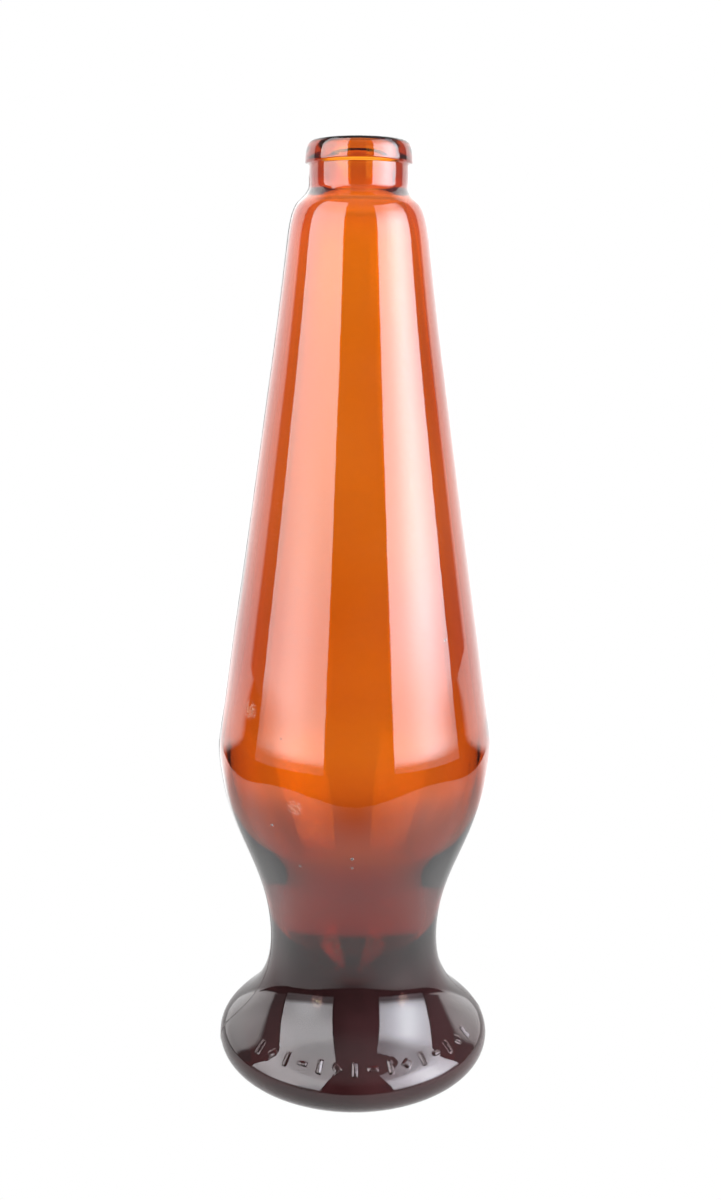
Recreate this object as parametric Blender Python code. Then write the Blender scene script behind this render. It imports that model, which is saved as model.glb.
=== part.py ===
"""One-piece blown glass bottle with the outline of a lava lamp.

From the top down: a crown-cap finish, a short collar, a rounded shoulder, a long cone, a bulge, a
waist and a heavy flared foot with a row of raised marks. The wall is about 3 mm thick down to the
waist, and the cavity narrows through the thick foot to a rounded floor. Lengths are in metres, +Z
is up, and the origin is the centre of the ring that the bottle stands on.
"""
import math

import bmesh
import bpy
from mathutils import Matrix, Vector

SEGMENTS = 60
MERGE_DISTANCE = 1e-7
SHARP_ANGLE = math.radians(35)

# Heights of the outside's stations
HEIGHT = 0.2419
BEAD_UNDERSIDE_Z = 0.2366
COLLAR_FOOT_Z = 0.2310
SHOULDER_Z = 0.2171
BULGE_Z = 0.0922
WAIST_Z = 0.0360
FOOT_RIM_Z = 0.0081

# Outside radii at the same stations. The bead is a standard crown-cap bead, 26.6 mm across.
LAND_INNER_R = 0.0115
LAND_OUTER_R = 0.0121
BEAD_R = 0.0133
COLLAR_R = 0.0122
SHOULDER_R = 0.0178
BULGE_R = 0.0359
WAIST_R = 0.0226
FOOT_RIM_R = 0.0367
RING_OUTER_R = 0.0240
RING_INNER_R = 0.0190

# How far each stretch keeps the direction that it leaves a station with
BEAD_TOP_ROUND = 0.0037
BEAD_TOP_PULL = 0.0024
LAND_PULL = 0.0005
BEAD_UNDER_ROUND = 0.0016
COLLAR_FLARE_OUT = 0.0021
COLLAR_FLARE_DOWN = 0.0045
SHOULDER_PULL = 0.0132
CONE_TOP_PULL = 0.0209
CONE_FOOT_PULL = 0.0013
BULGE_PULL = 0.0255
WAIST_UP_PULL = 0.0229
WAIST_DOWN_PULL = 0.0201
RIM_UP_PULL = 0.0068
RIM_DOWN_PULL = 0.0049
RING_PULL = 0.0076

# Radius gained per unit of height going down the cone's top
CONE_TAPER = 0.110

# Inside: the flared mouth, the bore, the wall's thickness at the stations, and the cavity's floor
MOUTH_PULL = 0.0010
BORE_TOP_R = 0.0095
BORE_FOOT_R = 0.0086
BORE_TOP_Z = 0.2384
BORE_FOOT_Z = 0.2315
BORE_PULL = 0.0040
SHOULDER_WALL = 0.0029
BULGE_WALL = 0.0030
WAIST_WALL = 0.0033
CAVITY_BULGE_PULL = 0.0278
CAVITY_WAIST_Z = 0.0433
CAVITY_WAIST_UP_PULL = 0.0197
CAVITY_WAIST_DOWN_PULL = 0.0040
CAVITY_FLOOR_Z = 0.0115
CAVITY_FLOOR_PULL = 0.0136

# Hollow under the foot
PUSH_UP = 0.0035
PUSH_UP_PULL = 0.0120

# Row of raised marks on the front of the flare: the same four marks over and over. Its middle is
# turned 9 degrees from the front, -Y, towards +X.
MARK_COUNT = 15
MARK_SPACING = math.radians(8)
MARK_MIDDLE = math.radians(9 - 90)
MARK_PLACE = 0.666
MARK_PROUD = 0.0004
MARK_ROOT = 0.0006
BAR_SIZE = (0.0009, 0.0034)
DASH_SIZE = (0.0022, 0.0009)
LOZENGE_SIZE = (0.0017, 0.0017)
LOZENGE_TURN = math.radians(45)
MARK_CYCLE = ((BAR_SIZE, 0.0), (LOZENGE_SIZE, LOZENGE_TURN), (BAR_SIZE, 0.0), (DASH_SIZE, 0.0))

GLASS_COLOUR = (0.62, 0.17, 0.02, 1.0)
GLASS_ROUGHNESS = 0.03
GLASS_IOR = 1.52


def cubic(controls, t):
    """The point at t, from 0 to 1, on a cubic curve: start, two pull points, end."""
    weights = ((1 - t) ** 3, 3 * (1 - t) ** 2 * t, 3 * (1 - t) * t ** 2, t ** 3)
    return tuple(sum(w * point[axis] for w, point in zip(weights, controls)) for axis in (0, 1))


def trace(controls, steps):
    """The points along a cubic curve, without its start."""
    return [cubic(controls, step / steps) for step in range(1, steps + 1)]


def flare():
    """The concave flare, from the waist down to the foot's rim."""
    return (
        (WAIST_R, WAIST_Z),
        (WAIST_R, WAIST_Z - WAIST_DOWN_PULL),
        (FOOT_RIM_R, FOOT_RIM_Z + RIM_UP_PULL),
        (FOOT_RIM_R, FOOT_RIM_Z),
    )


def outside():
    """The outside as radius and height, from the lip's flat land down to the standing ring."""
    land = (LAND_OUTER_R, HEIGHT)
    bead_top = (BEAD_R, HEIGHT - BEAD_TOP_ROUND)
    land_beyond = (LAND_OUTER_R + LAND_PULL, HEIGHT)
    bead_above = (BEAD_R, HEIGHT - BEAD_TOP_ROUND + BEAD_TOP_PULL)
    bead_low = (BEAD_R, BEAD_UNDERSIDE_Z + BEAD_UNDER_ROUND)
    under_corner = (BEAD_R, BEAD_UNDERSIDE_Z)
    collar_top = (COLLAR_R, BEAD_UNDERSIDE_Z)
    collar_foot = (COLLAR_R, COLLAR_FOOT_Z)
    collar_pull = (COLLAR_R + COLLAR_FLARE_OUT, COLLAR_FOOT_Z - COLLAR_FLARE_DOWN)
    shoulder = (SHOULDER_R, SHOULDER_Z)
    shoulder_pull = (SHOULDER_R - CONE_TAPER * SHOULDER_PULL, SHOULDER_Z + SHOULDER_PULL)
    cone_pull = (SHOULDER_R + CONE_TAPER * CONE_TOP_PULL, SHOULDER_Z - CONE_TOP_PULL)
    bulge_above = (BULGE_R, BULGE_Z + CONE_FOOT_PULL)
    bulge = (BULGE_R, BULGE_Z)
    bulge_below = (BULGE_R, BULGE_Z - BULGE_PULL)
    waist_above = (WAIST_R, WAIST_Z + WAIST_UP_PULL)
    waist = (WAIST_R, WAIST_Z)
    rim = (FOOT_RIM_R, FOOT_RIM_Z)
    rim_below = (FOOT_RIM_R, FOOT_RIM_Z - RIM_DOWN_PULL)
    ring_beyond = (RING_OUTER_R + RING_PULL, 0.0)
    ring = (RING_OUTER_R, 0.0)

    points = [land]
    points += trace((land, land_beyond, bead_above, bead_top), 5)
    points += [bead_low]
    points += trace((bead_low, under_corner, under_corner, collar_top), 3)
    points += [collar_foot]
    points += trace((collar_foot, collar_pull, shoulder_pull, shoulder), 6)
    points += trace((shoulder, cone_pull, bulge_above, bulge), 7)
    points += trace((bulge, bulge_below, waist_above, waist), 9)
    points += trace(flare(), 8)
    points += trace((rim, rim_below, ring_beyond, ring), 4)
    return points


def underside():
    """The shallow hollow under the foot, from the standing ring to the axis."""
    ring = (RING_INNER_R, 0.0)
    centre = (0.0, PUSH_UP)
    pulls = ((RING_INNER_R - PUSH_UP, PUSH_UP), (PUSH_UP_PULL, PUSH_UP))
    return [ring] + trace((ring, *pulls, centre), 3)


def cavity():
    """The inside as radius and height, from the lip's inner edge to the cavity's floor."""
    lip = (LAND_INNER_R, HEIGHT)
    mouth_pull = (BORE_TOP_R + MOUTH_PULL, HEIGHT - MOUTH_PULL)
    bore_top = (BORE_TOP_R, BORE_TOP_Z)
    bore_foot = (BORE_FOOT_R, BORE_FOOT_Z)
    bore_pull = (BORE_FOOT_R, BORE_FOOT_Z - BORE_PULL)
    shoulder_r = SHOULDER_R - SHOULDER_WALL
    shoulder = (shoulder_r, SHOULDER_Z)
    shoulder_pull = (shoulder_r - CONE_TAPER * SHOULDER_PULL, SHOULDER_Z + SHOULDER_PULL)
    cone_pull = (shoulder_r + CONE_TAPER * CONE_TOP_PULL, SHOULDER_Z - CONE_TOP_PULL)
    bulge_r = BULGE_R - BULGE_WALL
    bulge_above = (bulge_r, BULGE_Z + CONE_FOOT_PULL)
    bulge = (bulge_r, BULGE_Z)
    bulge_below = (bulge_r, BULGE_Z - CAVITY_BULGE_PULL)
    waist_r = WAIST_R - WAIST_WALL
    waist_above = (waist_r, CAVITY_WAIST_Z + CAVITY_WAIST_UP_PULL)
    waist = (waist_r, CAVITY_WAIST_Z)
    waist_below = (waist_r, CAVITY_WAIST_Z - CAVITY_WAIST_DOWN_PULL)
    floor_pull = (CAVITY_FLOOR_PULL, CAVITY_FLOOR_Z)
    floor = (0.0, CAVITY_FLOOR_Z)

    points = [lip]
    points += trace((lip, mouth_pull, mouth_pull, bore_top), 3)
    points += [bore_foot]
    points += trace((bore_foot, bore_pull, shoulder_pull, shoulder), 5)
    points += trace((shoulder, cone_pull, bulge_above, bulge), 6)
    points += trace((bulge, bulge_below, waist_above, waist), 7)
    points += trace((waist, waist_below, floor_pull, floor), 4)
    return points


def turn(name, points):
    """A closed mesh turned about Z from points of radius and height that start and end on the axis."""
    bm = bmesh.new()
    corners = [bm.verts.new((radius, 0.0, height)) for radius, height in points]
    edges = [bm.edges.new(pair) for pair in zip(corners, corners[1:])]
    bmesh.ops.spin(
        bm,
        geom=corners + edges,
        cent=(0.0, 0.0, 0.0),
        axis=(0.0, 0.0, 1.0),
        angle=math.tau,
        steps=SEGMENTS,
        use_merge=True,
    )
    bmesh.ops.remove_doubles(bm, verts=bm.verts, dist=MERGE_DISTANCE)
    bmesh.ops.recalc_face_normals(bm, faces=bm.faces)
    mesh = bpy.data.meshes.new(name)
    bm.to_mesh(mesh)
    bm.free()
    mesh.shade_smooth()
    mesh.set_sharp_from_angle(angle=SHARP_ANGLE)
    return mesh


def flare_seat():
    """Where the marks sit on the flare: radius, height, and the way down the flare as a unit vector."""
    step = 0.01
    above = Vector(cubic(flare(), MARK_PLACE - step))
    below = Vector(cubic(flare(), MARK_PLACE + step))
    radius, height = cubic(flare(), MARK_PLACE)
    return radius, height, (below - above).normalized()


def marks_mesh():
    """All the raised marks as separate closed blocks, each square to the flare under it."""
    radius, height, down = flare_seat()
    bm = bmesh.new()
    for index in range(MARK_COUNT):
        (width, length), tilt = MARK_CYCLE[index % len(MARK_CYCLE)]
        spoke = MARK_MIDDLE + MARK_SPACING * (index - (MARK_COUNT - 1) / 2)
        outward = Vector((math.cos(spoke), math.sin(spoke), 0.0))
        along = Vector((-math.sin(spoke), math.cos(spoke), 0.0))
        up_flare = Vector((-down.x * outward.x, -down.x * outward.y, -down.y))
        out = along.cross(up_flare)
        seat = outward * radius + Vector((0.0, 0.0, height)) + out * (MARK_PROUD - MARK_ROOT) / 2
        frame = Matrix((along, up_flare, out)).transposed().to_4x4()
        frame.translation = seat
        size = Matrix.Diagonal((width, length, MARK_PROUD + MARK_ROOT, 1.0))
        bmesh.ops.create_cube(bm, size=1.0, matrix=frame @ Matrix.Rotation(tilt, 4, "Z") @ size)
    mesh = bpy.data.meshes.new("raised_marks")
    bm.to_mesh(mesh)
    bm.free()
    return mesh


def amber_glass():
    """Clear amber glass."""
    material = bpy.data.materials.new("amber_glass")
    material.use_nodes = True
    shader = material.node_tree.nodes["Principled BSDF"]
    shader.inputs["Base Color"].default_value = GLASS_COLOUR
    shader.inputs["Roughness"].default_value = GLASS_ROUGHNESS
    shader.inputs["Metallic"].default_value = 0.0
    shader.inputs["IOR"].default_value = GLASS_IOR
    shader.inputs["Transmission Weight"].default_value = 1.0
    material.diffuse_color = GLASS_COLOUR
    return material


def clear_scene():
    """Removes every object that the file opened with."""
    for item in list(bpy.data.objects):
        bpy.data.objects.remove(item, do_unlink=True)


def build_bottle():
    """The bottle, with its marks united to its wall."""
    wall = list(reversed(underside())) + list(reversed(outside())) + cavity()
    bottle = bpy.data.objects.new("glass_bottle", turn("glass_bottle", wall))
    bottle.data.materials.append(amber_glass())
    bpy.context.collection.objects.link(bottle)

    marks = bpy.data.objects.new("raised_marks", marks_mesh())
    marks.hide_render = True
    marks.display_type = "WIRE"
    bpy.context.collection.objects.link(marks)

    union = bottle.modifiers.new("raised_marks", "BOOLEAN")
    union.operation = "UNION"
    union.solver = "EXACT"
    union.object = marks


clear_scene()
build_bottle()
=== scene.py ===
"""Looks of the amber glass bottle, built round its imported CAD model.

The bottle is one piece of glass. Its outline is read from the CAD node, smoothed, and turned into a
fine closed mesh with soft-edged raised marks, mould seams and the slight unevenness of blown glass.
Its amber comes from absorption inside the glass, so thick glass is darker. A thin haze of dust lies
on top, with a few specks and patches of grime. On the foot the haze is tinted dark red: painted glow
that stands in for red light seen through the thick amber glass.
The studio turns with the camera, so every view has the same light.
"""

import math

import bpy
import numpy as np
from mathutils import Euler, Matrix, Vector, noise


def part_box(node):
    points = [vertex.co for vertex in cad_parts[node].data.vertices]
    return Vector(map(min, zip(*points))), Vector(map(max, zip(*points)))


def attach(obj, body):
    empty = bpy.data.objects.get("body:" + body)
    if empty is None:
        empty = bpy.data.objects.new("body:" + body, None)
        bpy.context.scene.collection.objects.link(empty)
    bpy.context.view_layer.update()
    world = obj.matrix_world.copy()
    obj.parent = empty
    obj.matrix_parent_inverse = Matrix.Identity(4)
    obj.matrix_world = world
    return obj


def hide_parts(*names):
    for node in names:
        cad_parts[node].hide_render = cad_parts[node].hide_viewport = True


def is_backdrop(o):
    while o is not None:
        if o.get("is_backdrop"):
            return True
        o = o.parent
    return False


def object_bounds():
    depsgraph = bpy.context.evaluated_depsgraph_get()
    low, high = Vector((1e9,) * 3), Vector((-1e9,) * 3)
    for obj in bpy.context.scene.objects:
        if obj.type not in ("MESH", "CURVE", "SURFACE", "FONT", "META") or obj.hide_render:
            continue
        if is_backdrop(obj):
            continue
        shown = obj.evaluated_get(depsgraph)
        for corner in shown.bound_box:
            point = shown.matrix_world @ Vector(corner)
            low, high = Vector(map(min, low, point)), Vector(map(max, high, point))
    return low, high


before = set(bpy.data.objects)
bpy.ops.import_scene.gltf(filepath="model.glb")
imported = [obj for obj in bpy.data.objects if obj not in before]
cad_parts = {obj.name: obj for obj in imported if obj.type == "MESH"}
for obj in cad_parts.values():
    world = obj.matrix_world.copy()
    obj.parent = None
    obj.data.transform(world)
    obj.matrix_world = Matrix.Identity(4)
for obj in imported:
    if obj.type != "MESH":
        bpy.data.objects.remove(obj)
CAD_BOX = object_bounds()

MM = 0.001

# Outline
CORNER_TURN = math.radians(30)
CORNER_ROUND = 0.45 * MM
MAX_STEP = 1.9 * MM
MIN_STEP = 0.12 * MM
MAX_TURN = math.radians(6)
PROBE = 0.02 * MM
CORNER_STEPS = 4
STEP_SHRINK = 0.8
FLAT = 1e-6
LEVEL = 2e-6
SAME_LENGTH = 1e-7

# Columns round the axis. Angles are from the front, positive to the viewer's right.
COLUMNS = 192
BAND_COLUMNS = 960
SEAM_ANGLES = (math.radians(-80), math.radians(100))
SEAM_COLUMN_OFFSETS = tuple(math.radians(a) for a in (-0.8, -0.45, -0.2, 0.0, 0.2, 0.45, 0.8))
SEAM_WIDTH = math.radians(0.3)
SEAM_PROUD = 0.10 * MM
SEAM_PROUD_ON_BEAD = 0.4
SEAM_START_Z = 1.0 * MM
SEAM_RISE = 1.5 * MM
SEAM_CLEAR = math.radians(0.12)
COLUMN_CLEAR = math.radians(0.05)

# Parting line of the neck rings, under the bead
PARTING_Z = 0.2345
PARTING_WIDTH = 0.30 * MM
PARTING_PROUD = 0.10 * MM

# Row of raised marks, laid out as in the CAD
MARK_COUNT = 15
MARK_SPACING = math.radians(8)
MARK_MIDDLE = math.radians(9 - 90)
MARK_BAND_HALF = 2.6 * MM
MARK_STEP = 0.2 * MM
MARK_REACH = 12
MARK_SAMPLES = 400
MARK_SOFT = 0.20 * MM
MARK_PROUD = 0.55 * MM
BAR_SIZE = (0.9 * MM, 3.4 * MM)
DASH_SIZE = (2.2 * MM, 0.9 * MM)
LOZENGE_SIZE = (1.7 * MM, 1.7 * MM)
MARK_CYCLE = (
    (BAR_SIZE, 0.0),
    (LOZENGE_SIZE, math.radians(45)),
    (BAR_SIZE, 0.0),
    (DASH_SIZE, 0.0),
)

# Where the CAD's own marks are looked for: they are the only corners between its 60 spokes
CAD_SEGMENTS = 60
MARK_SEAT_BELOW = 35 * MM
MARK_SEAT_BEYOND = 23 * MM

# Unevenness of the two surfaces
OUTSIDE_WAVE = 0.035 * MM
OUTSIDE_WAVE_SIZE = 22 * MM
INSIDE_WAVE = 0.16 * MM
INSIDE_WAVE_SIZE = 17 * MM
INSIDE_WAVE_STRETCH = 0.55
INSIDE_SEED = 5.0
OUTSIDE_SEED = 2.0
RIM_FADE = 14 * MM
AXIS_FADE = 8 * MM
FOOT_FADE = 6 * MM
FOOT_PLAIN = 0.4 * MM

# Glass
GLASS_IOR = 1.52
GLASS_DENSITY = 1240.0
GLASS_TINT = (0.870, 0.639, 0.0)

# Fades everywhere below are (from, to, value before, value after)

# Wear: dust as a share of the surface, patchy, and stronger low down, on the foot and at the neck
DUST = 0.0032
DUST_CLOUD = (0.35, 0.70, 0.45, 1.0)
DUST_LOW = (0.045, 0.095, 2.6, 1.0)
DUST_FOOT = (0.026, 0.050, 2.6, 1.0)
DUST_NECK = (0.215, 0.228, 1.0, 2.2)
# Painted glow: below these heights the foot's haze is tinted red, standing in for red light seen through
# the thick amber foot
FOOT_PAINTED_GLOW_FADE = (0.028, 0.050, 1.0, 0.0)
SMUDGE_SCALE = 38.0
SMUDGE_ROUGHNESS = (0.52, 0.80, 0.0, 0.06)
RIPPLE_SCALE = 900.0
RIPPLE_STRENGTH = 0.02
RIPPLE_DEPTH = 0.2 * MM
GRAIN_SCALE = 2600.0
GRAIN_GAPS = (0.44, 0.62, 0.0, 1.0)
GRIME_COVER = 0.22
GRIME_EDGE = 0.2
SPECK_EDGE = 0.6
CLEAN = (1.0, 1.0, 1.0, 1.0)
# The foot's haze colour: dust, tinted red as a painted glow of the light seen through the thick amber
# glass
FOOT_DUST_AND_PAINTED_GLOW = (1.0, 0.36, 0.38, 1.0)
GRIME = (0.75, 0.60, 0.38, 1.0)
SPECK = (0.03, 0.02, 0.015, 1.0)

# Single marks as (degrees off the front, height, radius out, size)
DARK_SPECKS = (
    (-0.9, 0.0703, 0.0320, 0.00045),
    (-0.9, 0.0675, 0.0310, 0.00035),
    (-36.6, 0.0772, 0.0341, 0.00040),
    (-26.1, 0.0665, 0.0306, 0.00035),
    (44.2, 0.1233, 0.0313, 0.00040),
    (118.0, 0.1480, 0.0268, 0.00040),
    (-141.0, 0.0830, 0.0353, 0.00045),
    (165.0, 0.0610, 0.0280, 0.00035),
)
RESIDUE = (
    (-24.2, 0.0835, 0.0353, 0.0026),
    (-49.9, 0.1051, 0.0340, 0.0030),
    (-23.0, 0.0267, 0.0240, 0.0022),
    (32.7, 0.0265, 0.0241, 0.0022),
    (138.0, 0.0930, 0.0359, 0.0028),
)

# Camera, solved for the photo's viewing angle
CAMERA_BACK = 0.3350
CAMERA_HEIGHT = 0.1969
CAMERA_DOWN = math.radians(11.53)
CAMERA_ROLL = math.radians(0.40)
CAMERA_LENS = 39.45
CAMERA_SHIFT = 0.00382
CAMERA_NEAREST = 0.02

# Table and floor: glowing surfaces. The table's strength is painted light and shade: a painted shadow
# round and behind the bottle, painted shade in the middle of the front edge, and a painted pool of light
TABLE_HALF_WIDTH = 0.221
TABLE_FRONT = -0.157
TABLE_CENTRE_X = 0.010
TABLE_END = 0.9
TABLE_STEPS = 48
TABLE_SQUARENESS = 3.2
TABLE_BEHIND = (0.0, 0.055, 1.15, 0.75)
TABLE_FAR = (0.115, 0.205, 0.0, 1.20)
TABLE_EDGE = (-0.15, -0.075, 0.72, 0.0)
EDGE_WIDTH = 0.06
BRIGHT_PATCH = 0.5
BRIGHT_PATCH_X = (0.12, 0.05)
BRIGHT_PATCH_Y = (-0.07, 0.045)
SHADOW_BACK = 0.012
SHADOW = (0.022, 0.052, 0.12, 1.0)
FLOOR_Z = -0.004
FLOOR_HALF = 3.0
FLOOR_FAR = (0.2, 0.3, 0.0, 1.9)

# Softboxes and backdrop: radius, bearings in degrees, heights, and strengths
SHEET_FOOT = -0.003
SHEET_STEP = 3
LEFT_SHEET = (0.55, -86.0, -24.0, SHEET_FOOT, 1.05)
LEFT_COLOUR = (0.96, 0.98, 1.0)
LEFT_RISE = (0.10, 0.40, 4.8, 7.3)
LEFT_FALL = (0.48, 0.70, 1.0, 0.7)
LEFT_LOW_EDGE = (0.045, 0.095, 0.15, 1.0)
LEFT_HOT = 3.0
LEFT_HOT_BEARING = (-55.0, 17.0)
LEFT_HOT_HEIGHT = (0.10, 0.14)
RIGHT_SHEET = (0.60, 31.0, 92.0, SHEET_FOOT, 0.90)
RIGHT_COLOUR = (0.95, 0.98, 1.06)
RIGHT_STRENGTH = 15.0
RIGHT_EDGE = 0.52
RIGHT_MIDDLE = 0.48
RIGHT_BEARING = (65.0, 19.0)
RIGHT_LOW_EDGE = (0.030, 0.085, 0.15, 1.0)
RIGHT_RISE = (0.05, 0.17, 0.65, 1.0)
RIGHT_FALL = (0.44, 0.70, 1.0, 0.35)
BACKDROP_SHEET = (1.30, 88.0, 272.0, SHEET_FOOT, 2.2)
BACKDROP_DIM = 0.2
BACKDROP_LEFT = (-104.0, -110.0)
BACKDROP_RIGHT = (115.0, 122.0)
BACKDROP_RISE = (0.20, 0.50, 1.8, 2.4)
BACKDROP_FALL = (1.25, 2.15, 1.0, 0.15)

# Room, and the white that the camera sees in place of every light
WHITE = 1.0
ROOM = 0.03
CEILING = (0.5, 0.9, 0.0, 0.33)

# Light paths, enough for the many walls that a ray meets in the glass
MOST_BOUNCES = 40
GLOSSY_BOUNCES = 24
CLEAR_BOUNCES = 16


# ---------------------------------------------------------------- outline

def corners_of(node):
    """The node's outline in the plane y = 0, x >= 0, walked from the underside's centre."""
    mesh = node.data
    place = {}
    spots = []
    of_vertex = {}
    for vertex in mesh.vertices:
        x, y, z = vertex.co
        if abs(y) < FLAT and x > -FLAT:
            key = (round(x, 6), round(z, 6))
            if key not in place:
                place[key] = len(spots)
                spots.append((max(x, 0.0), z))
            of_vertex[vertex.index] = place[key]
    links = {index: set() for index in range(len(spots))}
    for edge in mesh.edges:
        a, b = edge.vertices
        if a in of_vertex and b in of_vertex and of_vertex[a] != of_vertex[b]:
            links[of_vertex[a]].add(of_vertex[b])
            links[of_vertex[b]].add(of_vertex[a])
    on_axis = [index for index, (x, z) in enumerate(spots) if x < FLAT and links[index]]
    start = min(on_axis, key=lambda index: spots[index][1])
    end = max(on_axis, key=lambda index: spots[index][1])
    walk = [start]
    before = None
    while walk[-1] != end:
        following = [index for index in links[walk[-1]] if index != before and index not in walk]
        before = walk[-1]
        walk.append(following[0])
    return [Vector(spots[index]) for index in walk]


def is_straight(a, b):
    """Stretches that are exactly level or upright are straight in the CAD."""
    return abs(a.x - b.x) < LEVEL or abs(a.y - b.y) < LEVEL


def turn_at(points, index):
    """How sharply the outline turns at a point."""
    if index in (0, len(points) - 1):
        return 0.0
    return (points[index] - points[index - 1]).angle(points[index + 1] - points[index])


def spline(points, start_way, end_way):
    """A function from 0..length to a point on the C2 cubic spline through points, and that length."""
    knots = [0.0]
    for a, b in zip(points, points[1:]):
        knots.append(knots[-1] + (b - a).length)
    count = len(points)
    t = np.array(knots)
    p = np.array([tuple(point) for point in points])
    h = np.diff(t)
    matrix = np.zeros((count, count))
    right = np.zeros((count, 2))
    for i in range(1, count - 1):
        matrix[i, i - 1] = h[i]
        matrix[i, i] = 2 * (h[i - 1] + h[i])
        matrix[i, i + 1] = h[i - 1]
        right[i] = 3 * (h[i] * (p[i] - p[i - 1]) / h[i - 1] + h[i - 1] * (p[i + 1] - p[i]) / h[i])
    for row, other, way, span in ((0, 1, start_way, 0), (count - 1, count - 2, end_way, count - 2)):
        matrix[row, row] = 1.0
        if way is not None:
            right[row] = tuple(way)
        else:
            slope = (p[span + 1] - p[span]) / h[span]
            matrix[row, other] = 0.5
            right[row] = 1.5 * slope
    ways = np.linalg.solve(matrix, right)

    def at(length):
        i = min(max(int(np.searchsorted(t, length) - 1), 0), count - 2)
        s = (length - t[i]) / h[i]
        a = (1 + 2 * s) * (1 - s) ** 2
        b = s * (1 - s) ** 2 * h[i]
        c = s * s * (3 - 2 * s)
        d = s * s * (s - 1) * h[i]
        return Vector(a * p[i] + b * ways[i] + c * p[i + 1] + d * ways[i + 1])

    return at, knots[-1]


def runs_of(points):
    """The outline cut into straight stretches and smooth curves: (points, is straight)."""
    runs = []
    current = [points[0]]
    for a, b, index in zip(points, points[1:], range(1, len(points))):
        if is_straight(a, b):
            if len(current) > 1:
                runs.append((current, False))
            runs.append(([a, b], True))
            current = [b]
        else:
            current.append(b)
            if turn_at(points, index) > CORNER_TURN:
                runs.append((current, False))
                current = [b]
    if len(current) > 1:
        runs.append((current, False))
    return runs


def way_between(straight, own):
    """The straight stretch's direction if it meets this curve smoothly, or None at a corner."""
    return straight if straight.angle(own) < CORNER_TURN else None


def fine_outline(points):
    """The outline as closely spaced points, with its corners slightly rounded."""
    runs = runs_of(points)
    level_in = Vector((1.0, 0.0))
    curves = []
    for index, (run, straight) in enumerate(runs):
        if straight:
            a, b = run
            curves.append((lambda s, a=a, b=b: a.lerp(b, s / (b - a).length), (b - a).length, True))
            continue
        first = (run[1] - run[0]).normalized()
        last = (run[-1] - run[-2]).normalized()
        start_way = None
        end_way = None
        if index == 0:
            start_way = level_in
        elif runs[index - 1][1]:
            before = (runs[index - 1][0][1] - runs[index - 1][0][0]).normalized()
            start_way = way_between(before, first)
        if index == len(runs) - 1:
            end_way = -level_in
        elif runs[index + 1][1]:
            after = (runs[index + 1][0][1] - runs[index + 1][0][0]).normalized()
            end_way = way_between(after, last)
        at, length = spline(run, start_way, end_way)
        curves.append((at, length, False))
    return sample(curves)


def sample(curves):
    """Points along the curves, closer where they bend, with a small arc at each sharp corner."""
    fine = []
    for index, (at, length, straight) in enumerate(curves):
        head = at(PROBE) - at(0.0)
        tail = at(length) - at(length - PROBE)
        low, high = 0.0, length
        if index > 0:
            before_at, before_length, _ = curves[index - 1]
            before = before_at(before_length) - before_at(before_length - PROBE)
            if before.angle(head) > CORNER_TURN / 2:
                low = min(CORNER_ROUND, length / 3)
        if index < len(curves) - 1:
            after = curves[index + 1][0](PROBE) - curves[index + 1][0](0.0)
            if tail.angle(after) > CORNER_TURN / 2:
                high = length - min(CORNER_ROUND, length / 3)
        if index > 0 and low > 0.0:
            corner = at(0.0)
            start = fine[-1]
            end = at(low)
            for step in range(1, CORNER_STEPS):
                s = step / CORNER_STEPS
                fine.append(start.lerp(corner, s).lerp(corner.lerp(end, s), s))
        position = low
        if not fine or (fine[-1] - at(low)).length > SAME_LENGTH:
            fine.append(at(low))
        while position < high - SAME_LENGTH:
            step = MAX_STEP
            if not straight:
                here = at(min(position + PROBE, length)) - at(position)
                while step > MIN_STEP:
                    ahead = min(position + step, length)
                    there = at(ahead) - at(ahead - PROBE)
                    if here.angle(there) <= MAX_TURN:
                        break
                    step *= STEP_SHRINK
            remaining = high - position
            step = remaining / max(1, math.ceil(remaining / step))
            position += step
            fine.append(at(min(position, high)))
    return fine


def with_band(fine, seat):
    """The outline with evenly close points where the raised marks are, and that band's index range."""
    lengths = [0.0]
    for a, b in zip(fine, fine[1:]):
        lengths.append(lengths[-1] + (b - a).length)
    centre = min(range(len(fine)), key=lambda i: (fine[i] - seat).length)
    at, total = spline(fine[centre - MARK_REACH:centre + MARK_REACH + 1], None, None)
    base = lengths[centre - MARK_REACH]
    spans = [(at(total * i / MARK_SAMPLES) - seat).length for i in range(MARK_SAMPLES + 1)]
    middle = base + total * spans.index(min(spans)) / MARK_SAMPLES
    low, high = middle - MARK_BAND_HALF, middle + MARK_BAND_HALF
    head = [point for point, s in zip(fine, lengths) if s < low - MARK_STEP]
    foot = [point for point, s in zip(fine, lengths) if s > high + MARK_STEP]
    count = int(round(2 * MARK_BAND_HALF / MARK_STEP))
    band = [at(low + (high - low) * i / count - base) for i in range(count + 1)]
    return head + band + foot, (len(head), len(head) + count)


# ---------------------------------------------------------------- bottle mesh

def smooth(t):
    """0 to 1 with level ends."""
    t = min(max(t, 0.0), 1.0)
    return t * t * (3 - 2 * t)


def mark_height(around, along, radius):
    """How far a raised mark stands proud, at an angle round the axis and a distance down the flare."""
    if abs(along) > MARK_BAND_HALF:
        return 0.0
    off = (around - MARK_MIDDLE + math.pi) % math.tau - math.pi
    place = off / MARK_SPACING + (MARK_COUNT - 1) / 2
    index = round(place)
    if index not in range(MARK_COUNT):
        return 0.0
    (width, length), tilt = MARK_CYCLE[index % len(MARK_CYCLE)]
    u = (place - index) * MARK_SPACING * radius
    x = u * math.cos(tilt) + along * math.sin(tilt)
    y = -u * math.sin(tilt) + along * math.cos(tilt)
    dx = abs(x) - width / 2
    dy = abs(y) - length / 2
    outside = math.hypot(max(dx, 0.0), max(dy, 0.0)) + min(max(dx, dy), 0.0)
    return MARK_PROUD * smooth(0.5 - outside / MARK_SOFT)


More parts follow.
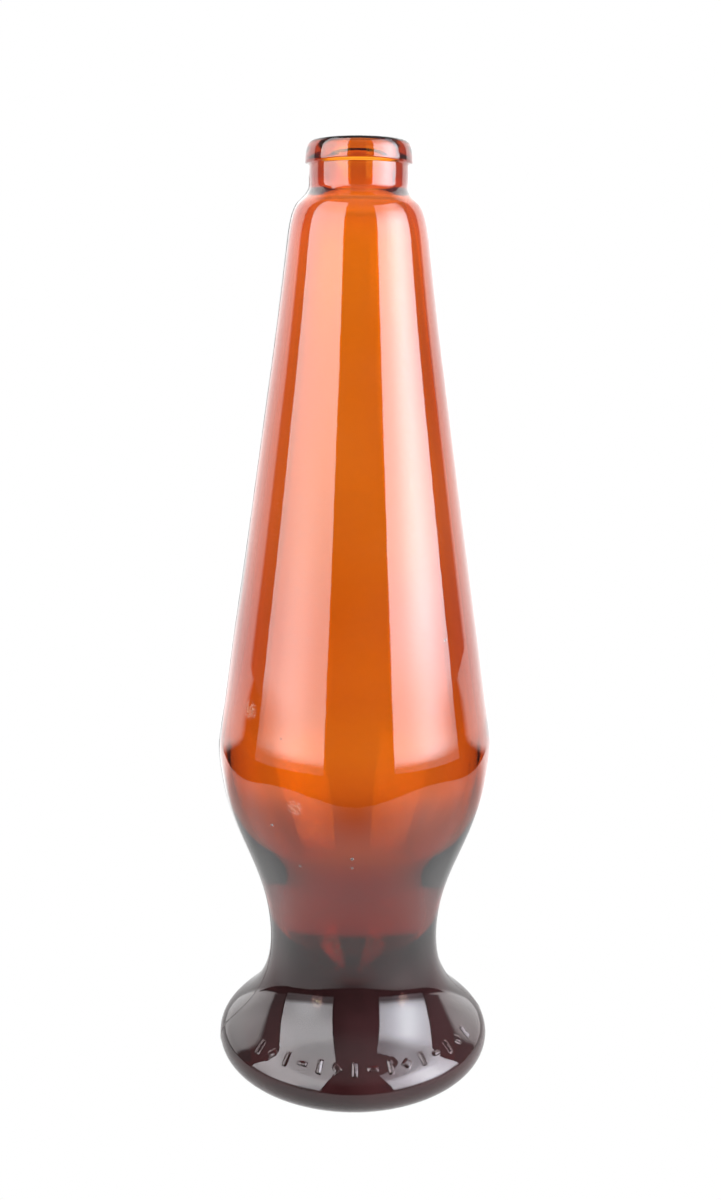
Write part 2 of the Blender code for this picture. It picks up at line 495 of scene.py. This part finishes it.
def columns(count):
    """Angles round the axis, from +X, with extra ones close to the mould seams."""
    angles = {round(math.tau * i / count, 9) for i in range(count)}
    for seam in SEAM_ANGLES:
        for offset in SEAM_COLUMN_OFFSETS:
            angle = (seam - math.pi / 2 + offset) % math.tau
            near = {a for a in angles if abs(a - angle) < SEAM_CLEAR}
            angles -= near if count == COLUMNS else set()
            angles.add(round(angle, 9))
    return sorted(angles)


def seam_height(angle):
    """The mould seams' height at an angle from +X."""
    height = 0.0
    for seam in SEAM_ANGLES:
        off = (angle - (seam - math.pi / 2) + math.pi) % math.tau - math.pi
        height += math.exp(-((off / SEAM_WIDTH) ** 2))
    return SEAM_PROUD * height


def wave(point, size, seed):
    """Smooth noise of about -1 to 1."""
    return noise.noise(point / size + seed * Vector((1.0, 3.1, -1.7)))


def normals_of(outline):
    """The way out of the glass at each point of the outline."""
    last = len(outline) - 1
    normals = []
    for i in range(len(outline)):
        way = (outline[min(i + 1, last)] - outline[max(i - 1, 0)]).normalized()
        normals.append(Vector((way.y, -way.x)))
    return normals


def inside_push(point, spot, rim):
    """Unevenness of the inner surface, none near the rim and the axis."""
    fade = smooth((rim - spot.y) / RIM_FADE) * smooth(spot.x / AXIS_FADE)
    drawn = Vector((point.x, point.y, point.z * INSIDE_WAVE_STRETCH))
    return INSIDE_WAVE * fade * wave(drawn, INSIDE_WAVE_SIZE, INSIDE_SEED)


def outside_push(point, spot, rim, angle):
    """Unevenness, mould seams and parting line of the outer surface."""
    fade = smooth(spot.y / FOOT_FADE) * smooth((rim - spot.y) / RIM_FADE)
    push = OUTSIDE_WAVE * fade * wave(point, OUTSIDE_WAVE_SIZE, OUTSIDE_SEED)
    seam_fade = smooth((spot.y - SEAM_START_Z) / SEAM_RISE)
    seam_share = SEAM_PROUD_ON_BEAD if spot.y > PARTING_Z else 1.0
    push += seam_height(angle) * seam_fade * seam_share
    push += PARTING_PROUD * math.exp(-(((spot.y - PARTING_Z) / PARTING_WIDTH) ** 2))
    return push


def bottle_mesh(node):
    """The bottle as one closed mesh."""
    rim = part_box("glass_bottle")[1].z
    seat = mark_seat(node)
    outline, (band_start, band_end) = with_band(fine_outline(corners_of(node)), seat)
    top = max(range(len(outline)), key=lambda i: outline[i].y)
    normals = normals_of(outline)

    run = [0.0]
    for a, b in zip(outline, outline[1:]):
        run.append(run[-1] + (b - a).length)
    band_middle = (run[band_start] + run[band_end]) / 2

    coarse = columns(COLUMNS)
    fine = sorted(set(coarse) | set(columns(BAND_COLUMNS)))
    fine = [a for a in fine if a in coarse or min(abs(a - c) for c in coarse) > COLUMN_CLEAR]

    vertices = []
    rows = []
    for i, (spot, normal) in enumerate(zip(outline, normals)):
        in_band = band_start <= i <= band_end
        angles = fine if in_band else coarse
        if spot.x < FLAT:
            rows.append(([len(vertices)], None))
            vertices.append((0.0, 0.0, spot.y))
            continue
        row = []
        for angle in angles:
            point = Vector((spot.x * math.cos(angle), spot.x * math.sin(angle), spot.y))
            push = 0.0
            if i > top:
                push += inside_push(point, spot, rim)
            elif spot.y > FOOT_PLAIN:
                push += outside_push(point, spot, rim, angle)
                if in_band:
                    push += mark_height(angle, run[i] - band_middle, seat.x)
            out = Vector((normal.x * math.cos(angle), normal.x * math.sin(angle), normal.y))
            row.append(len(vertices))
            vertices.append(tuple(point + push * out))
        rows.append((row, angles))

    faces = []
    for (below, below_angles), (above, above_angles) in zip(rows, rows[1:]):
        faces += strip(below, below_angles, above, above_angles)
    mesh = bpy.data.meshes.new("glass_bottle_fine")
    mesh.from_pydata(vertices, [], faces)
    mesh.validate()
    mesh.update()
    mesh.shade_smooth()
    return mesh


def strip(below, below_angles, above, above_angles):
    """Faces between two rows of vertices, facing away from the glass."""
    if len(below) == 1:
        n = len(above)
        return [(below[0], above[(i + 1) % n], above[i]) for i in range(n)]
    if len(above) == 1:
        n = len(below)
        return [(below[i], below[(i + 1) % n], above[0]) for i in range(n)]
    if len(below) == len(above):
        n = len(below)
        return [(below[i], below[(i + 1) % n], above[(i + 1) % n], above[i]) for i in range(n)]
    faces = []
    if len(below) < len(above):
        few, few_angles, many, many_angles, flip = below, below_angles, above, above_angles, False
    else:
        few, few_angles, many, many_angles, flip = above, above_angles, below, below_angles, True
    where = {angle: i for i, angle in enumerate(many_angles)}
    n, m = len(few), len(many)
    for i in range(n):
        start = where[few_angles[i]]
        end = where[few_angles[(i + 1) % n]]
        span = [many[(start + k) % m] for k in range((end - start) % m + 1)]
        face = [few[i], few[(i + 1) % n]] + span[::-1]
        faces.append(tuple(face if not flip else face[::-1]))
    return faces


def mark_seat(node):
    """Where the band of marks sits on the outline, read from the CAD's own marks."""
    spoke = 360.0 / CAD_SEGMENTS
    spots = []
    for vertex in node.data.vertices:
        x, y, z = vertex.co
        turned = math.degrees(math.atan2(y, x)) % spoke
        off_spoke = min(turned, spoke - turned)
        radius = math.hypot(x, y)
        if z < MARK_SEAT_BELOW and radius > MARK_SEAT_BEYOND and off_spoke > 0.05:
            spots.append(Vector((radius, z)))
    return sum(spots, Vector((0.0, 0.0))) / len(spots)


# ---------------------------------------------------------------- materials

class Nodes:
    """Small helper that adds nodes to a tree and links them."""

    def __init__(self, tree):
        self.tree = tree
        tree.nodes.clear()

    def add(self, kind, inputs=None, **settings):
        node = self.tree.nodes.new(kind)
        for name, value in settings.items():
            setattr(node, name, value)
        for name, value in (inputs or {}).items():
            self.set(node.inputs[name], value)
        return node

    def set(self, socket, value):
        if isinstance(value, bpy.types.NodeSocket):
            self.tree.links.new(value, socket)
        else:
            socket.default_value = value

    def math(self, operation, a, b=0.0, c=0.0, clamp=False):
        node = self.add("ShaderNodeMath", {0: a, 1: b, 2: c}, operation=operation, use_clamp=clamp)
        return node.outputs[0]

    def fade(self, value, start, end, low=0.0, high=1.0):
        """low to high, smoothly, as value goes from start to end."""
        node = self.add(
            "ShaderNodeMapRange",
            {"Value": value, "From Min": start, "From Max": end, "To Min": low, "To Max": high},
            interpolation_type="SMOOTHSTEP",
        )
        return node.outputs["Result"]

    def white_to_camera(self, strength, seen):
        """The strength itself, except where the camera sees the light directly."""
        own = self.math("MULTIPLY", strength, self.math("SUBTRACT", 1.0, seen))
        return self.math("ADD", own, self.math("MULTIPLY", seen, WHITE))

    def blend(self, share, one, other):
        """From one colour to the other as share goes from 0 to 1."""
        return self.add("ShaderNodeMix", {0: share, 6: one, 7: other}, data_type="RGBA").outputs[2]

    def bell(self, value, centre, width):
        """1 at centre, falling off on both sides."""
        away = self.math("DIVIDE", self.math("SUBTRACT", value, centre), width)
        return self.math("EXPONENT", self.math("MULTIPLY", self.math("MULTIPLY", away, away), -1.0))


def new_material(name):
    """A material with an empty node tree, and the helper for it."""
    material = bpy.data.materials.new(name)
    material.use_nodes = True
    return material, Nodes(material.node_tree)


def around_axis(azimuth, height, radius):
    """A point on the glass, from its angle off the front, its height and its radius."""
    angle = math.radians(azimuth)
    return (radius * math.sin(angle), -radius * math.cos(angle), height)


def spots(n, place, marks, edge):
    """1 inside each mark and 0 outside: (azimuth, height, radius out, size) for each."""
    total = None
    for azimuth, height, radius, size in marks:
        centre = around_axis(azimuth, height, radius)
        away = n.add("ShaderNodeVectorMath", {0: place, 1: centre}, operation="DISTANCE").outputs["Value"]
        mark = n.fade(away, size * edge, size, 1.0, 0.0)
        total = mark if total is None else n.math("MAXIMUM", total, mark)
    return total


def amber_glass():
    """Amber glass: clear, dusty in patches, slightly uneven, coloured by its depth."""
    material, n = new_material("amber_glass")
    place = n.add("ShaderNodeTexCoord").outputs["Object"]
    height = n.add("ShaderNodeSeparateXYZ", {0: place}).outputs[2]

    smudge = n.add(
        "ShaderNodeTexNoise",
        {"Vector": place, "Scale": SMUDGE_SCALE, "Detail": 5.0, "Roughness": 0.6},
    )
    cloud = n.fade(smudge.outputs["Fac"], *DUST_CLOUD)
    low_dust = n.fade(height, *DUST_LOW)
    neck_dust = n.fade(height, *DUST_NECK)
    foot_dust = n.fade(height, *DUST_FOOT)
    dust = n.math("MULTIPLY", n.math("MULTIPLY", cloud, DUST), n.math("MULTIPLY", low_dust, neck_dust))
    dust = n.math("MULTIPLY", dust, foot_dust)

    grain = n.add("ShaderNodeTexNoise", {"Vector": place, "Scale": GRAIN_SCALE, "Detail": 1.0})
    gaps = n.fade(grain.outputs["Fac"], *GRAIN_GAPS)
    grime = n.math("MULTIPLY", spots(n, place, RESIDUE, GRIME_EDGE), gaps)
    dust = n.math("ADD", dust, n.math("MULTIPLY", grime, GRIME_COVER))
    dark = spots(n, place, DARK_SPECKS, SPECK_EDGE)
    clear = n.math("SUBTRACT", 1.0, n.math("MAXIMUM", dust, dark), clamp=True)
    # Painted glow: the foot's haze turns red, standing in for red light seen through the thick amber foot
    colour = n.blend(n.fade(height, *FOOT_PAINTED_GLOW_FADE), CLEAN, FOOT_DUST_AND_PAINTED_GLOW)
    colour = n.blend(grime, colour, GRIME)
    colour = n.blend(dark, colour, SPECK)

    ripple = n.add("ShaderNodeTexNoise", {"Vector": place, "Scale": RIPPLE_SCALE, "Detail": 2.0})
    bump = n.add(
        "ShaderNodeBump",
        {"Strength": RIPPLE_STRENGTH, "Distance": RIPPLE_DEPTH, "Height": ripple.outputs["Fac"]},
    )
    glass = n.add(
        "ShaderNodeBsdfPrincipled",
        {
            "Base Color": colour,
            "Roughness": n.fade(smudge.outputs["Fac"], *SMUDGE_ROUGHNESS),
            "IOR": GLASS_IOR,
            "Transmission Weight": clear,
            "Normal": bump.outputs["Normal"],
        },
    )
    depth = n.add("ShaderNodeVolumeAbsorption", {"Color": (*GLASS_TINT, 1.0), "Density": GLASS_DENSITY})
    n.add("ShaderNodeOutputMaterial", {"Surface": glass.outputs[0], "Volume": depth.outputs[0]})
    return material


# ---------------------------------------------------------------- studio

def glow(name, strength_of, colour=(1.0, 1.0, 1.0)):
    """A surface that gives out light: strength_of builds its strength from its own coordinates."""
    material, n = new_material(name)
    place = n.add("ShaderNodeTexCoord").outputs["Object"]
    split = n.add("ShaderNodeSeparateXYZ", {0: place})
    x, y, z = split.outputs
    strength = strength_of(n, x, y, z)
    seen = n.add("ShaderNodeLightPath").outputs["Is Camera Ray"]
    light = n.add(
        "ShaderNodeEmission",
        {
            "Color": n.blend(seen, (*colour, 1.0), (WHITE, WHITE, WHITE, 1.0)),
            "Strength": n.white_to_camera(strength, seen),
        },
    )
    n.add("ShaderNodeOutputMaterial", {"Surface": light.outputs[0]})
    return material


def bearing(n, x, y):
    """Degrees round from the front, positive to the right."""
    turn = n.math("ARCTAN2", x, n.math("MULTIPLY", y, -1.0))
    return n.math("MULTIPLY", turn, math.degrees(1.0))


def sheet(name, rig, radius, start, end, low, high, material):
    """An upright curved sheet round the bottle, from one bearing to another in degrees."""
    steps = int(abs(end - start) / SHEET_STEP)
    vertices = []
    for i in range(steps + 1):
        a = math.radians(start + (end - start) * i / steps)
        for z in (low, high):
            vertices.append((radius * math.sin(a), -radius * math.cos(a), z))
    faces = [(2 * i, 2 * i + 2, 2 * i + 3, 2 * i + 1) for i in range(steps)]
    return stage_mesh(name, rig, vertices, faces, material)


def stage_mesh(name, rig, vertices, faces, material):
    """A mesh of the studio, on the rig."""
    mesh = bpy.data.meshes.new(name)
    mesh.from_pydata(vertices, [], faces)
    mesh.materials.append(material)
    thing = bpy.data.objects.new(name, mesh)
    thing.parent = rig
    bpy.context.collection.objects.link(thing)
    thing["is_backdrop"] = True
    return thing


def left_light(n, x, y, z):
    """Brighter higher up, with a hot spot and a soft lower edge."""
    hot = n.math("MULTIPLY", n.bell(bearing(n, x, y), *LEFT_HOT_BEARING), n.bell(z, *LEFT_HOT_HEIGHT))
    sheet_light = n.math("MULTIPLY", n.fade(z, *LEFT_RISE), n.fade(z, *LEFT_FALL))
    upper = n.math("ADD", sheet_light, n.math("MULTIPLY", hot, LEFT_HOT))
    return n.math("MULTIPLY", upper, n.fade(z, *LEFT_LOW_EDGE))


def right_light(n, x, y, z):
    """Brightest in the middle, dimmer at the top, with a soft lower edge."""
    middle = n.math("MULTIPLY", n.bell(bearing(n, x, y), *RIGHT_BEARING), RIGHT_MIDDLE)
    across = n.math("ADD", RIGHT_EDGE, middle)
    rise = n.math("MULTIPLY", n.fade(z, *RIGHT_LOW_EDGE), n.fade(z, *RIGHT_RISE))
    along = n.math("MULTIPLY", rise, n.fade(z, *RIGHT_FALL))
    return n.math("MULTIPLY", n.math("MULTIPLY", across, RIGHT_STRENGTH), along)


def backdrop_light(n, x, y, z):
    """Lit behind the bottle and dim at both ends, fading out at the top."""
    turned = bearing(n, x, y)
    lit = n.math("MAXIMUM", n.fade(turned, *BACKDROP_LEFT), n.fade(turned, *BACKDROP_RIGHT))
    along = n.math("MULTIPLY", n.fade(z, *BACKDROP_RISE), n.fade(z, *BACKDROP_FALL))
    return n.math("ADD", BACKDROP_DIM, n.math("MULTIPLY", lit, along))


def table_light(n, x, y, z):
    """Painted light: bright sides and far back, painted shade mid front edge, painted shadow round and
    behind the bottle.
    """
    edge = n.math("MULTIPLY", n.fade(y, *TABLE_EDGE), n.bell(x, 0.0, EDGE_WIDTH))
    middle = n.math("SUBTRACT", 1.0, edge)
    length = n.math("ADD", n.fade(y, *TABLE_BEHIND), n.fade(y, *TABLE_FAR))
    patch = n.math("MULTIPLY", n.bell(x, *BRIGHT_PATCH_X), n.bell(y, *BRIGHT_PATCH_Y))
    base = n.math("ADD", length, n.math("MULTIPLY", patch, BRIGHT_PATCH))
    back_y = n.math("SUBTRACT", y, SHADOW_BACK)
    reach = n.math("SQRT", n.math("ADD", n.math("MULTIPLY", x, x), n.math("MULTIPLY", back_y, back_y)))
    return n.math("MULTIPLY", n.math("MULTIPLY", base, middle), n.fade(reach, *SHADOW))


def floor_light(n, x, y, z):
    """Dark in front, lit behind the table's middle."""
    return n.math("ADD", ROOM, n.fade(y, *FLOOR_FAR))


def table_shape():
    """The table top: a soft-cornered front that runs straight back. Vertices and one face."""
    power = 2.0 / TABLE_SQUARENESS
    rim = []
    for step in range(TABLE_STEPS + 1):
        angle = math.pi * step / TABLE_STEPS
        across = math.copysign(abs(math.cos(angle)) ** power, -math.cos(angle))
        forward = TABLE_FRONT * math.sin(angle) ** power
        rim.append((TABLE_CENTRE_X + TABLE_HALF_WIDTH * across, forward, 0.0))
    rim.append((TABLE_CENTRE_X + TABLE_HALF_WIDTH, TABLE_END, 0.0))
    rim.append((TABLE_CENTRE_X - TABLE_HALF_WIDTH, TABLE_END, 0.0))
    return rim, [tuple(range(len(rim)))]


def floor_shape():
    """A wide square just under the table. Vertices and one face."""
    signs = ((-1, -1), (1, -1), (1, 1), (-1, 1))
    return [(FLOOR_HALF * across, FLOOR_HALF * back, FLOOR_Z) for across, back in signs], [(0, 1, 2, 3)]


def make_studio(camera):
    """Table, floor, two softboxes and a white backdrop, on a rig that faces the camera."""
    rig = bpy.data.objects.new("studio", None)
    bpy.context.collection.objects.link(rig)
    follow = rig.constraints.new("LOCKED_TRACK")
    follow.target = camera
    follow.track_axis = "TRACK_NEGATIVE_Y"
    follow.lock_axis = "LOCK_Z"

    stage_mesh("table", rig, *table_shape(), glow("table", table_light))
    stage_mesh("floor", rig, *floor_shape(), glow("floor", floor_light))
    sheet("softbox_left", rig, *LEFT_SHEET, glow("softbox_left", left_light, LEFT_COLOUR))
    sheet("softbox_right", rig, *RIGHT_SHEET, glow("softbox_right", right_light, RIGHT_COLOUR))
    sheet("backdrop", rig, *BACKDROP_SHEET, glow("backdrop", backdrop_light))


def make_world():
    """A dark room with a pale ceiling."""
    world = bpy.data.worlds.new("room")
    bpy.context.scene.world = world
    world.use_nodes = True
    n = Nodes(world.node_tree)
    place = n.add("ShaderNodeTexCoord").outputs["Generated"]
    split = n.add("ShaderNodeSeparateXYZ", {0: place})
    strength = n.math("ADD", ROOM, n.fade(split.outputs[2], *CEILING))
    seen = n.add("ShaderNodeLightPath").outputs["Is Camera Ray"]
    light = n.add(
        "ShaderNodeBackground",
        {"Color": CLEAN, "Strength": n.white_to_camera(strength, seen)},
    )
    n.add("ShaderNodeOutputWorld", {"Surface": light.outputs[0]})


def make_camera():
    """The camera at the photo's viewing angle."""
    data = bpy.data.cameras.new("camera")
    data.lens = CAMERA_LENS
    data.sensor_fit = "AUTO"
    data.shift_x = CAMERA_SHIFT
    data.clip_start = CAMERA_NEAREST
    camera = bpy.data.objects.new("camera", data)
    camera.location = (0.0, -CAMERA_BACK, CAMERA_HEIGHT)
    tilt = Euler((math.pi / 2 - CAMERA_DOWN, 0.0, 0.0)).to_matrix()
    camera.rotation_euler = (tilt @ Matrix.Rotation(CAMERA_ROLL, 3, "Z")).to_euler()
    bpy.context.collection.objects.link(camera)
    bpy.context.scene.camera = camera
    return camera


def make_bottle():
    """The bottle in place of its CAD node."""
    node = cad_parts["glass_bottle"]
    bottle = bpy.data.objects.new("amber_bottle", bottle_mesh(node))
    bottle.data.materials.append(amber_glass())
    bpy.context.collection.objects.link(bottle)
    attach(bottle, "root")
    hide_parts("glass_bottle")


def set_looks():
    """Plain colours, and enough light bounces for glass."""
    scene = bpy.context.scene
    scene.view_settings.view_transform = "Standard"
    scene.view_settings.look = "None"
    scene.cycles.max_bounces = MOST_BOUNCES
    scene.cycles.transmission_bounces = MOST_BOUNCES
    scene.cycles.glossy_bounces = GLOSSY_BOUNCES
    scene.cycles.transparent_max_bounces = CLEAR_BOUNCES


make_bottle()
make_studio(make_camera())
make_world()
set_looks()

corners = [[list(corner) for corner in box] for box in (CAD_BOX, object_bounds())]
